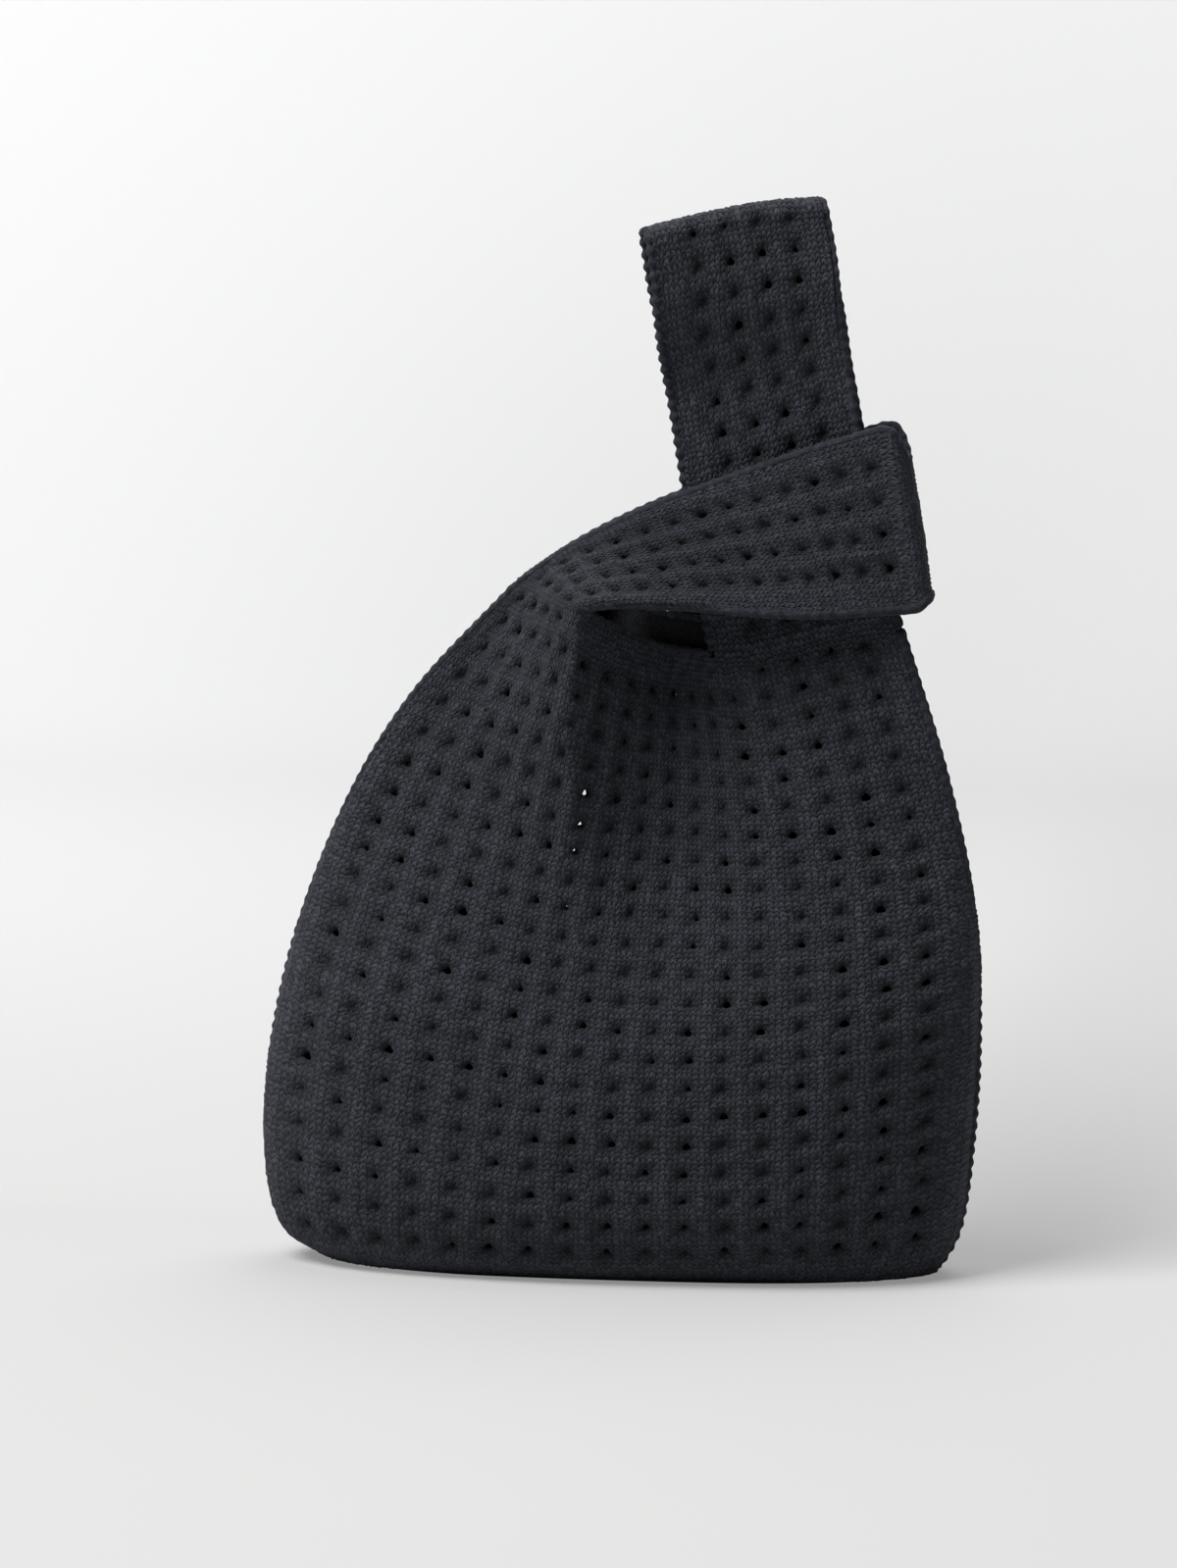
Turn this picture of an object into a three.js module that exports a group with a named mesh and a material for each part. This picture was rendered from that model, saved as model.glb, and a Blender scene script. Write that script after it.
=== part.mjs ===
// A knitted knot handbag. Two knitted panels stand on an oval base. The left straps meet in a short loop,
// and the right straps meet in a long handle that passes up through the loop and closes the mouth.
import * as THREE from 'three';

// Driving dimensions in millimetres and degrees. The front is -Y and up is +Z.
const KNIT = 3; // thickness of the knitted cloth
const CLEARANCE = 0.4; // room between neighbouring pieces
const EDGING_RADIUS = 1.2; // chain edge along every free edge
const EDGING_GAP = 0.6; // room between a cloth edge and its chain
const SEAM_RADIUS = 1.8; // linked seam between the panels

const HALF_WIDTH = 115; // widest point of the belly, from the middle
const SHOULDER_HEIGHT = 222; // left edge, where the short loop begins
const NECK_HEIGHT = 209.5; // right edge, where the long handle begins
const ROW_SAG = 14; // how far the knitted rows hang in the middle
const NECK_DIP = 1; // how far the neckline hangs between its ends
const LIP_DROP = 13; // how far the front neckline falls from its left corner to the hollow beside it
const BACK_LIP_DROP = 3; // the same at the back, which hangs tighter and closes the view through the mouth
const SEAM_HEIGHT = 106; // top of the side seams, above which the sides are slit
const SLIT_START = 8; // from a seam's top to the slit's chain edge

const BASE_HALF_DEPTH = 29; // middle of the base to its front edge
const BELLY_HALF_DEPTH = 44; // fullest part of the belly
const NECK_HALF_DEPTH = 13; // belly at the height of the neckline
const SEAM_EDGE = 2.4; // half the distance of the panels' edges at a seam
const SLIT_EDGE = 5; // the same in the middle of a side slit
const APEX_DEPTH = 31; // front of the neckline's left corner
const APEX_X = -9;
const STRAP_SWELL = 10; // how far the right strap swells forward below the loop
const RIDGE_FOOT_X = -48; // foot of the ridge that runs down from that corner
const STRAP_FOOT_X = 48; // foot of the line that runs up to the long handle's left edge

const HANDLE_WIDTH = 56;
const HANDLE_LEAN = 9.4; // the long handle leans to the left
const HANDLE_X = 22; // left edge of the handle where it leaves the loop
const HANDLE_Z = 252.6;
const HANDLE_LENGTH = 80; // from there to the turned top
const HANDLE_ARCH = 1.5; // rise of the turned top's middle
const HANDLE_ROOT_Y = 3; // middle of a strap's thickness inside the loop
const HANDLE_FULL_Y = 11; // the same where the handle is fullest
const HANDLE_END_Y = 5; // the same at the turned top
const HANDLE_TURN = 4; // height of the turned top
const HANDLE_TWIST = 18; // the handle's top is turned, so that its left side shows from the front
const TWIST_START = 32; // the twist begins above the fold, along the handle
const STRAP_ROOT = -54; // foot of the strap's left edge, along the handle
const STRAP_FLARE = 3; // how far the foot of the strap's right edge stands out

const LOOP_Y = 7; // middle of the loop's thickness, in front of the straps
const LOOP_RISE = 9.6; // rise of the loop's upper edge over the handle's width
const LOOP_DROP = 47; // from the handle's origin down to the loop's lower edge, at its end
const LOOP_UPPER_CORNER = 11; // rounding of the turned end's upper corner
const LOOP_LOWER_CORNER = 3;
const LOOP_REACH = 64.7; // from the handle's left edge to the loop's turned end
const LOOP_TURN = 6; // length of the turned end
const UPPER_BEND = [17, 0, 11.5]; // the loop's upper edge: from its root to its first bend
const UPPER_LEAD = [-13, -4.5]; // its place beside the handle, across and along the handle
const LOWER_BEND = [13, 3, 1]; // the loop's lower edge: from the neckline's corner to its first bend
const LOWER_LEAD = [-3.8, -35, 14]; // its place at the handle's left edge: across, along and forward
const LOWER_MIDDLE = [-43, 8]; // its place in the middle of the handle: along and forward
const BACK_HANG = 9; // how much lower this edge hangs at the back, where it closes the view through the mouth
const ROOT_GAP = 1.6; // room between the shoulder and the loop that slides off it
const TURN_GAP = 0.8; // room between a strap's end and the turned piece it is linked to
const LOOP_TRAVEL = 12; // how far the loop slides up
const FOLD_ABOVE_LOOP = 7.5; // from the raised loop's edge to the handle's fold
const FOLD_RADIUS = HANDLE_ROOT_Y + KNIT / 2;
const STRAP_REACH = 0.7; // how far the strap's middle reaches into the fold's round
const STRAP_BEVEL = 0.8; // slant of the strap's end there

// Shares of the outline: left and right edge of the panels, from the floor up.
const LEFT_EDGE = [[-0.84, 0.012], [-0.955, 0.055], [-1, 0.216], [-0.939, 0.432], [-0.775, 0.662], [-0.578, 0.829], [-0.276, 1]];
const RIGHT_EDGE = [[0.885, 0.01], [0.945, 0.07], [0.985, 0.215], [1, 0.391], [0.98, 0.578], [0.908, 0.759]];
const RIDGE_SHARE = 0.285; // place of the ridge across the panel
const STRAP_SHARE = 0.706; // place of the strap's left edge across the panel
const CREST_SHARE = 0.49; // place of the belly's crest, which meets the ridge at the neckline
const HOLLOW_SPAN = 0.26; // from the crest to the deepest part of the hollow beside it

// Cells of the sheets
const SIDE_CELLS = 6;
const MIDDLE_CELLS = 6;
const BODY_ROWS = 16;
const STRAP_ROWS = 5;
const LOOP_ROWS = 12;
const LOOP_CELLS = 5;
const HANDLE_ROWS = 8;
const TURN_ROWS = 8;

const { lerp, smoothstep, degToRad } = THREE.MathUtils;
const lean = degToRad(HANDLE_LEAN);
const knitLook = { color: 0x2a2c31, roughness: 0.95, metalness: 0 };
const edgingLook = { color: 0x303238, roughness: 0.95, metalness: 0 };
const group = new THREE.Group();

function add(name, geometry, look) {
  const mesh = new THREE.Mesh(geometry, new THREE.MeshStandardMaterial(look));
  mesh.name = name;
  group.add(mesh);
}

// A point of the handle's own plane: across it from its left edge, along it from where it leaves the loop.
function onHandle(across, along, y) {
  const x = HANDLE_X + across * Math.cos(lean) - along * Math.sin(lean);
  const z = HANDLE_Z + across * Math.sin(lean) + along * Math.cos(lean);
  return new THREE.Vector3(x, y, z);
}

function edgePoints(shares, height) {
  return shares.map(([x, z]) => new THREE.Vector3(x * HALF_WIDTH, 0, z * height));
}

const leftEdge = new THREE.CatmullRomCurve3(edgePoints(LEFT_EDGE, SHOULDER_HEIGHT));
const strapFoot = onHandle(HANDLE_WIDTH + STRAP_FLARE, STRAP_ROOT, 0);
const rightEdge = new THREE.CatmullRomCurve3([...edgePoints(RIGHT_EDGE, NECK_HEIGHT), strapFoot]);

// Depth of the front panel: a full belly low down, which turns into the neckline's profile higher up.
function bellyDepth(share, rise) {
  const swell = 1 - (1 - Math.min(rise / 0.18, 1)) ** 2;
  const fade = smoothstep(rise, 0.25, 1.05);
  const fullness = lerp(BASE_HALF_DEPTH, BELLY_HALF_DEPTH, swell) - (BELLY_HALF_DEPTH - NECK_HALF_DEPTH) * fade;
  const edge = lerp(SEAM_EDGE, SLIT_EDGE, smoothstep(rise, 0.4, 0.55));
  const lens = (1 - Math.abs(2 * share - 1) ** 2.4) ** (1 / 1.8);
  return edge + (fullness - SEAM_EDGE) * lens;
}

function neckDepth(share, crest, rise) {
  if (share < crest) {
    return lerp(LOOP_Y, APEX_DEPTH, smoothstep(share, 0, crest));
  }
  const start = crest + HOLLOW_SPAN / 2;
  const across = Math.max((share - start) / (1 - start), 0);
  const swell = STRAP_SWELL * Math.sin(Math.PI * across) * (1 - smoothstep(rise, 0.7, 1));
  return lerp(APEX_DEPTH, HANDLE_ROOT_Y, smoothstep(share, crest, crest + HOLLOW_SPAN) ** 0.6) + swell;
}

// The lip hangs lower beside the ridge and comes up again at the strap's right edge.
function lipShape(share, rise) {
  const fall = Math.sqrt(smoothstep(share, RIDGE_SHARE, RIDGE_SHARE + HOLLOW_SPAN));
  return fall * (1 - smoothstep(share, STRAP_SHARE, 1)) * smoothstep(rise, 0.6, 1);
}

// A point in the middle of the front panel's thickness: share from left to right, rise from base to neckline.
function onPanel(share, rise, lipDrop = LIP_DROP) {
  const left = leftEdge.getPointAt(rise);
  const right = rightEdge.getPointAt(rise);
  const ridgeX = lerp(RIDGE_FOOT_X, APEX_X, rise ** 1.6);
  const strapX = lerp(STRAP_FOOT_X, onHandle(0, STRAP_ROOT, 0).x, rise ** 3);
  const hang = (ROW_SAG * 4 * rise * (1 - rise) + NECK_DIP * rise) * 4 * share * (1 - share);
  const sag = hang + lipDrop * lipShape(share, rise);
  let x = lerp(ridgeX, strapX, (share - RIDGE_SHARE) / (STRAP_SHARE - RIDGE_SHARE));
  if (share < RIDGE_SHARE) {
    x = lerp(left.x, ridgeX, share / RIDGE_SHARE);
  } else if (share > STRAP_SHARE) {
    x = lerp(strapX, right.x, (share - STRAP_SHARE) / (1 - STRAP_SHARE));
  }
  const crest = lerp(CREST_SHARE, RIDGE_SHARE, rise ** 1.6);
  const depth = lerp(bellyDepth(share, rise), neckDepth(share, crest, rise), smoothstep(rise, 0.38, 0.88));
  return new THREE.Vector3(x, -depth, lerp(left.z, right.z, share) - sag);
}

// Height of the handle's fold, along the handle. It runs parallel to the loop's upper edge.
function foldLine(across) {
  return LOOP_TRAVEL + FOLD_ABOVE_LOOP + (LOOP_RISE * across) / HANDLE_WIDTH;
}

function topLine(across) {
  const off = (2 * across) / HANDLE_WIDTH - 1;
  return HANDLE_LENGTH + HANDLE_ARCH * (1 - off * off);
}

// A closed sheet of cloth round a grid of points. Points that are missing leave their cells out.
// bevel shifts both faces' corners of the first or last row along the cloth, to clear the fold.
function sheet(grid, bevel = { first: 0, last: 0 }) {
  const rows = grid.length;
  const columns = grid[0].length;
  const has = (i, j) => i >= 0 && j >= 0 && i < rows && j < columns && grid[i][j] !== null;
  const cell = (i, j) => has(i, j) && has(i + 1, j) && has(i, j + 1) && has(i + 1, j + 1);
  const along = new THREE.Vector3(-Math.sin(lean), 0, Math.cos(lean));
  const positions = [];
  const number = new Map();
  const difference = (i, j, di, dj) => {
    const ahead = has(i + di, j + dj) ? grid[i + di][j + dj] : grid[i][j];
    const behind = has(i - di, j - dj) ? grid[i - di][j - dj] : grid[i][j];
    return ahead.clone().sub(behind);
  };
  for (let i = 0; i < rows; i += 1) {
    for (let j = 0; j < columns; j += 1) {
      if (!has(i, j)) continue;
      const normal = difference(i, j, 0, 1).cross(difference(i, j, 1, 0)).normalize();
      const shift = (i === 0 ? bevel.first : 0) + (i === rows - 1 ? bevel.last : 0);
      number.set(i * columns + j, positions.length / 3);
      for (const side of [1, -1]) {
        const corner = grid[i][j].clone().addScaledVector(normal, (side * KNIT) / 2);
        corner.addScaledVector(along, side * shift);
        positions.push(...corner.toArray());
      }
    }
  }
  const index = [];
  const quad = (a, b, c, d) => index.push(a, b, c, a, c, d);
  const at = (i, j) => number.get(i * columns + j);
  for (let i = 0; i < rows - 1; i += 1) {
    for (let j = 0; j < columns - 1; j += 1) {
      if (!cell(i, j)) continue;
      const [a, b, c, d] = [at(i, j), at(i, j + 1), at(i + 1, j + 1), at(i + 1, j)];
      quad(a, b, c, d);
      quad(d + 1, c + 1, b + 1, a + 1);
      if (!cell(i - 1, j)) quad(b, a, a + 1, b + 1);
      if (!cell(i, j + 1)) quad(c, b, b + 1, c + 1);
      if (!cell(i + 1, j)) quad(d, c, c + 1, d + 1);
      if (!cell(i, j - 1)) quad(a, d, d + 1, a + 1);
    }
  }
  const geometry = new THREE.BufferGeometry();
  geometry.setAttribute('position', new THREE.Float32BufferAttribute(positions, 3));
  geometry.setIndex(index);
  return geometry;
}

// The same piece at the back: mirrored through the middle, with its faces turned round again.
function mirrored(geometry) {
  const back = geometry.clone().scale(1, -1, 1);
  const index = back.getIndex().array;
  for (let k = 0; k < index.length; k += 3) {
    [index[k], index[k + 1]] = [index[k + 1], index[k]];
  }
  return back;
}

const mirrorPoints = (points) => points.map((p) => new THREE.Vector3(p.x, -p.y, p.z));

// A round cord through a list of points.
function cord(points, radius, steps) {
  const outline = new THREE.Shape().absarc(0, 0, radius, 0, 2 * Math.PI);
  const path = new THREE.CatmullRomCurve3(points);
  return new THREE.ExtrudeGeometry(outline, { extrudePath: path, steps, curveSegments: 4, bevelEnabled: false });
}

// Points beside a sheet's edge, square to it, for a chain edge. Each pair is an edge point and its inner neighbour.
function besideEdge(pairs) {
  return pairs.map(([edge, inner], k) => {
    const before = pairs[Math.max(k - 1, 0)][0];
    const after = pairs[Math.min(k + 1, pairs.length - 1)][0];
    const tangent = after.clone().sub(before).normalize();
    const out = edge.clone().sub(inner);
    out.addScaledVector(tangent, -out.dot(tangent)).normalize();
    return edge.clone().addScaledVector(out, EDGING_RADIUS + EDGING_GAP);
  });
}

const steps = (count) => Array.from({ length: count + 1 }, (_, k) => k / count);

// Front and back panel, each with the root of its right strap
const sideShares = steps(SIDE_CELLS).map((k) => k ** 1.6);
const shares = [
  ...sideShares.map((k) => RIDGE_SHARE * k),
  ...steps(MIDDLE_CELLS).slice(1, -1).map((k) => lerp(RIDGE_SHARE, STRAP_SHARE, k)),
  ...sideShares.map((k) => 1 - (1 - STRAP_SHARE) * k).reverse(),
];
const strapColumn = SIDE_CELLS + MIDDLE_CELLS;
const rises = steps(BODY_ROWS).map((k) => k ** 1.2);
const seatBelowFold = FOLD_RADIUS + CLEARANCE / 2;
const bodyRows = (lipDrop) => rises.map((rise) => shares.map((share) => onPanel(share, rise, lipDrop)));
const strapRows = (lipDrop) => steps(STRAP_ROWS).slice(1).map((k) => shares.map((share, j) => {
  if (j < strapColumn) return null;
  const across = (HANDLE_WIDTH * (share - STRAP_SHARE)) / (1 - STRAP_SHARE);
  const top = onHandle(across, foldLine(across) - seatBelowFold + STRAP_REACH, -HANDLE_ROOT_Y);
  return onPanel(share, 1, lipDrop).lerp(top, k);
}));
const bodyGrid = bodyRows(LIP_DROP);
const panelGrid = [...bodyGrid, ...strapRows(LIP_DROP)];
const backGrid = [...bodyRows(BACK_LIP_DROP), ...strapRows(BACK_LIP_DROP)];
const strapBevel = { first: 0, last: STRAP_BEVEL };
add('front_panel', sheet(panelGrid, strapBevel), knitLook);
add('back_panel', mirrored(sheet(backGrid, strapBevel)), knitLook);

// Base, cut to fit inside the panels' lower edges
const baseRim = steps(24).map((k) => onPanel(k, 0));
const baseInset = KNIT / 2 - CLEARANCE / 2;
const baseOutline = new THREE.Shape();
const rimPoint = (p, side) => new THREE.Vector2(p.x * (1 - baseInset / HALF_WIDTH), side * (p.y + baseInset));
baseOutline.setFromPoints([
  ...baseRim.map((p) => rimPoint(p, 1)),
  ...baseRim.map((p) => rimPoint(p, -1)).reverse(),
]);
add('base_panel', new THREE.ExtrudeGeometry(baseOutline, { depth: KNIT, bevelEnabled: false }), knitLook);

// Side seams between the panels' edges
function seamPoints(edge) {
  return steps(40).map((k) => edge.getPointAt(k)).filter((p) => p.z > KNIT + SEAM_RADIUS && p.z < SEAM_HEIGHT);
}
add('left_side_seam', cord(seamPoints(leftEdge), SEAM_RADIUS, 14), edgingLook);
add('right_side_seam', cord(seamPoints(rightEdge), SEAM_RADIUS, 14), edgingLook);

// Chain edges of the side slits
const last = shares.length - 1;
const slitRows = (grid, column, neighbour) => grid
  .filter((row) => row[column].z > SEAM_HEIGHT + SLIT_START)
  .map((row) => [row[column], row[neighbour]]);
const leftSlit = besideEdge(slitRows(bodyGrid, 0, 1)).slice(0, -1);
const rightSlit = besideEdge(slitRows(panelGrid, last, last - 1)).slice(0, -1);
add('front_left_edging', cord(leftSlit, EDGING_RADIUS, 14), edgingLook);
add('back_left_edging', cord(mirrorPoints(leftSlit), EDGING_RADIUS, 14), edgingLook);
add('front_right_edging', cord(rightSlit, EDGING_RADIUS, 18), edgingLook);
add('back_right_edging', cord(mirrorPoints(rightSlit), EDGING_RADIUS, 18), edgingLook);

// Chain edges of the mouth: along the neckline, then up the strap's left edge
function mouthEdge(grid) {
  const neck = grid[BODY_ROWS].map((point, j) => [point, grid[BODY_ROWS - 1][j]]);
  const strap = grid.slice(BODY_ROWS + 1, -1).map((row) => [row[strapColumn], row[strapColumn + 1]]);
  return [...besideEdge(neck.slice(SIDE_CELLS + 1, strapColumn)), ...besideEdge(strap)];
}
add('front_mouth_edging', cord(mouthEdge(panelGrid), EDGING_RADIUS, 36), edgingLook);
add('back_mouth_edging', cord(mirrorPoints(mouthEdge(backGrid)), EDGING_RADIUS, 36), edgingLook);

// Short loop: the left strap, folded over to the right in front of the handle
const rootGap = new THREE.Vector3(0, 0, ROOT_GAP);
const loopOuter = new THREE.CatmullRomCurve3([
  onPanel(0, 1).add(rootGap),
  onPanel(0, 1).add(new THREE.Vector3(...UPPER_BEND)),
  onHandle(...UPPER_LEAD, -LOOP_Y),
  onHandle(LOOP_REACH / 2, LOOP_RISE / 2, -LOOP_Y),
  onHandle(LOOP_REACH, LOOP_RISE, -LOOP_Y),
]);
const loopInner = (hang) => new THREE.CatmullRomCurve3([
  onPanel(RIDGE_SHARE, 1).add(rootGap),
  onPanel(RIDGE_SHARE, 1).add(new THREE.Vector3(...LOWER_BEND)).add(new THREE.Vector3(0, -hang / 3, 0)),
  onHandle(LOWER_LEAD[0], LOWER_LEAD[1] - hang, -LOOP_Y - LOWER_LEAD[2]),
  onHandle(LOOP_REACH / 2, LOWER_MIDDLE[0] - hang / 2, -LOOP_Y - LOWER_MIDDLE[1]),
  onHandle(LOOP_REACH, -LOOP_DROP, -LOOP_Y),
]);
const rootPoint = (share) => onPanel(share, 1).add(rootGap);
const loopGrid = (hang) => steps(LOOP_ROWS).map((k) => steps(LOOP_CELLS).map((b) => {
  const point = loopOuter.getPoint(k).lerp(loopInner(hang).getPoint(k), b);
  const root = rootPoint(RIDGE_SHARE * b);
  const straight = loopOuter.getPoint(0).lerp(loopInner(hang).getPoint(0), b);
  return point.addScaledVector(root.sub(straight), (1 - k) ** 4);
}));
const frontLoop = loopGrid(0);
const backLoop = loopGrid(BACK_HANG);
add('short_loop_front', sheet(frontLoop), knitLook);
add('short_loop_back', mirrored(sheet(backLoop)), knitLook);

// The loop's turned end, from the front band round to the back band
const blunt = (value) => Math.sign(value) * Math.sqrt(Math.abs(value));
const loopTurn = steps(TURN_ROWS).map((k) => steps(LOOP_CELLS).map((b) => {
  const angle = Math.PI * (k - 0.5);
  const upper = LOOP_RISE - LOOP_UPPER_CORNER * Math.cos(angle) ** 2;
  const lower = -LOOP_DROP + LOOP_LOWER_CORNER * Math.cos(angle) ** 2;
  const across = LOOP_REACH + TURN_GAP + LOOP_TURN * blunt(Math.cos(angle));
  return onHandle(across, lerp(upper, lower, b), LOOP_Y * blunt(Math.sin(angle)));
}));
add('short_loop_end', sheet(loopTurn), knitLook);

// Chain edges of the loop, from the root round the turned end and back
function loopEdge(column, neighbour) {
  const pairs = (grid) => grid.map((row) => [row[column], row[neighbour]]);
  const front = besideEdge(pairs(frontLoop).slice(1));
  const turn = besideEdge(pairs(loopTurn).slice(1, -1));
  const back = mirrorPoints(besideEdge(pairs(backLoop).slice(1)));
  return [...front, ...turn, ...back.reverse()];
}
add('short_loop_upper_edging', cord(loopEdge(0, 1), EDGING_RADIUS, 60), edgingLook);
add('short_loop_lower_edging', cord(loopEdge(LOOP_CELLS, LOOP_CELLS - 1), EDGING_RADIUS, 44), edgingLook);

// Long handle above its fold. It turns about its own middle line, from TWIST_START up to its top.
function twisted(geometry) {
  const turned = geometry.clone();
  const place = turned.attributes.position;
  const up = onHandle(0, 1, 0).sub(onHandle(0, 0, 0));
  const foot = onHandle(HANDLE_WIDTH / 2, 0, 0);
  for (let i = 0; i < place.count; i += 1) {
    const point = new THREE.Vector3().fromBufferAttribute(place, i).sub(foot);
    const share = smoothstep(point.dot(up), TWIST_START, HANDLE_LENGTH);
    point.applyAxisAngle(up, THREE.MathUtils.degToRad(HANDLE_TWIST) * share).add(foot);
    place.setXYZ(i, point.x, point.y, point.z);
  }
  return turned;
}
const acrossSteps = steps(SIDE_CELLS).map((k) => k * HANDLE_WIDTH);
const bevelRise = Math.sqrt(FOLD_RADIUS ** 2 - (HANDLE_ROOT_Y - KNIT / 2) ** 2) / 2;
const handleGrid = steps(HANDLE_ROWS).map((k) => acrossSteps.map((across) => {
  const along = lerp(foldLine(across) - bevelRise, topLine(across), k);
  const opened = lerp(HANDLE_ROOT_Y, HANDLE_FULL_Y, smoothstep(k, 0.1, 0.6));
  const y = lerp(opened, HANDLE_END_Y, smoothstep(k, 0.65, 1));
  return onHandle(across, along, -y);
}));
const handleFront = sheet(handleGrid, { first: bevelRise, last: 0 });
add('long_handle_front', twisted(handleFront), knitLook);
add('long_handle_back', twisted(mirrored(handleFront)), knitLook);

const handleTurn = steps(TURN_ROWS).map((k) => acrossSteps.map((across) => {
  const angle = Math.PI * (k - 0.5);
  const along = topLine(across) + TURN_GAP + HANDLE_TURN * Math.cos(angle);
  return onHandle(across, along, HANDLE_END_Y * Math.sin(angle));
}));
add('long_handle_top', twisted(sheet(handleTurn)), knitLook);

// Chain edges of the handle, up the front, over the top and down the back
function handleEdge(column, neighbour) {
  const front = besideEdge(handleGrid.map((row) => [row[column], row[neighbour]]).slice(1, -1));
  const turn = besideEdge(handleTurn.map((row) => [row[column], row[neighbour]]).slice(1, -1));
  return [...front, ...turn, ...mirrorPoints(front).reverse()];
}
const leftCord = cord(handleEdge(0, 1), EDGING_RADIUS, 36);
add('long_handle_left_edging', twisted(leftCord), edgingLook);
const rightCord = cord(handleEdge(SIDE_CELLS, SIDE_CELLS - 1), EDGING_RADIUS, 36);
add('long_handle_right_edging', twisted(rightCord), edgingLook);

export default group;
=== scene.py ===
"""Looks of a knitted knot handbag: eyelet knit, chain edges and a pale studio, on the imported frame."""
import math

import bpy
import numpy as np
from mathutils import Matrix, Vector


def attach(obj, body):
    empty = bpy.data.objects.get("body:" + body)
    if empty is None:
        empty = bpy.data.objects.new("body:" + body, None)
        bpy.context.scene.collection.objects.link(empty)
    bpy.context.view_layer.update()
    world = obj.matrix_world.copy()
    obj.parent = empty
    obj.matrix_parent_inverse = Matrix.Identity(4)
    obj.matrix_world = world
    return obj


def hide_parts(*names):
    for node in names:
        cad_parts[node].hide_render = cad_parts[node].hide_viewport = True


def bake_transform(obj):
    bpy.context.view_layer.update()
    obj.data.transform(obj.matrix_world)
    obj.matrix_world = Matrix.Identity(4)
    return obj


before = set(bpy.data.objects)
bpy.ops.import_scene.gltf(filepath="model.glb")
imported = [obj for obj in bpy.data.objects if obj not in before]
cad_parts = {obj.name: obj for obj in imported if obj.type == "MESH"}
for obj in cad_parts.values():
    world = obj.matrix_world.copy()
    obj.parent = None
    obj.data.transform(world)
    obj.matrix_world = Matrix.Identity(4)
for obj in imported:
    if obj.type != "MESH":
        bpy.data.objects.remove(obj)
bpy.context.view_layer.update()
MM = 0.001
MIRROR = np.array([1, -1, 1])

# Sizes of the bag in millimetres and radians; the front is -Y. They are the part's own, apart from SLIT_EDGE,
# HANDLE_ROOT_Y, HANDLE_FULL_Y and BACK_HANG, which are set for the dressed bag.
KNIT = 3.0
HALF_WIDTH = 115.0
SHOULDER_HEIGHT = 222.0
NECK_HEIGHT = 209.5
ROW_SAG = 14.0
NECK_DIP = 1.0
LIP_DROP = 13.0
BACK_LIP_DROP = 3.0
SEAM_HEIGHT = 106.0
BASE_HALF_DEPTH = 29.0
BELLY_HALF_DEPTH = 44.0
NECK_HALF_DEPTH = 13.0
SEAM_EDGE = 2.4
SLIT_EDGE = 2.0
APEX_DEPTH = 31.0
APEX_X = -9.0
STRAP_SWELL = 10.0
RIDGE_FOOT_X = -48.0
STRAP_FOOT_X = 48.0
HANDLE_WIDTH = 56.0
HANDLE_LEAN = math.radians(9.4)
HANDLE_X = 22.0
HANDLE_Z = 252.6
HANDLE_LENGTH = 80.0
HANDLE_ARCH = 1.5
HANDLE_ROOT_Y = 2.3
HANDLE_FULL_Y = 7.2
HANDLE_END_Y = 5.0
HANDLE_TURN = 4.0
HANDLE_TWIST = math.radians(18)
TWIST_START = 32.0
STRAP_ROOT = -54.0
STRAP_FLARE = 3.0
LOOP_Y = 7.0
LOOP_RISE = 9.6
LOOP_DROP = 47.0
LOOP_UPPER_CORNER = 11.0
LOOP_LOWER_CORNER = 3.0
LOOP_REACH = 64.7
LOOP_TURN = 6.0
UPPER_BEND = (17.0, 0.0, 11.5)
UPPER_LEAD = (-13.0, -4.5)
LOWER_BEND = (13.0, 3.0, 1.0)
LOWER_LEAD = (-3.8, -35.0, 14.0)
LOWER_MIDDLE = (-43.0, 8.0)
BACK_HANG = 14.0
LOOP_TRAVEL = 12.0
FOLD_ABOVE_LOOP = 7.5

# Outline of a panel, as shares of the half width and of the shoulder's or the neck's height
LEFT_EDGE = [
    (-0.84, 0.012), (-0.955, 0.055), (-1, 0.216), (-0.939, 0.432),
    (-0.775, 0.662), (-0.578, 0.829), (-0.276, 1),
]
RIGHT_EDGE = [(0.885, 0.01), (0.945, 0.07), (0.985, 0.215), (1, 0.391), (0.98, 0.578), (0.908, 0.759)]

# The knit: eyelet columns over a panel's width, stitches in one eyelet cell, and samples in one cell
COLUMNS = 18
ROW_PITCH = 9.2
WALES = 6
COURSES = 5
CELL_ACROSS = 12
CELL_UP = 10
PANEL_SAMPLES = COLUMNS * CELL_ACROSS
RIDGE_SAMPLE = 62
STRAP_SAMPLE = 152
RIDGE_SHARE = RIDGE_SAMPLE / PANEL_SAMPLES
STRAP_SHARE = STRAP_SAMPLE / PANEL_SAMPLES
CREST_SHARE = 0.49
HOLLOW_SPAN = 0.26
STRAP_COLUMN = 13
LOOP_COLUMNS = 4

# Where on its rise, from 0 at the base to 1 at the neckline, each form of a panel starts and is full
BELLY_RISE = 0.18
FADE_RISE = (0.25, 1.05)
SLIT_RISE = (0.4, 0.55)
NECK_RISE = (0.38, 0.88)
LIP_RISE = (0.6, 1)
SWELL_RISE = (0.7, 1)

# Powers that set how these forms bend
LENS_POWER = 2.4
LENS_ROOT = 1.8
HOLLOW_POWER = 0.6
RIDGE_POWER = 1.6
STRAP_POWER = 3

# Points on a dense curve, and the share of a panel's width where its rows are spaced
CURVE_POINTS = 600
ROW_POINTS = 400
ROW_SHARE = 0.45


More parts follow.
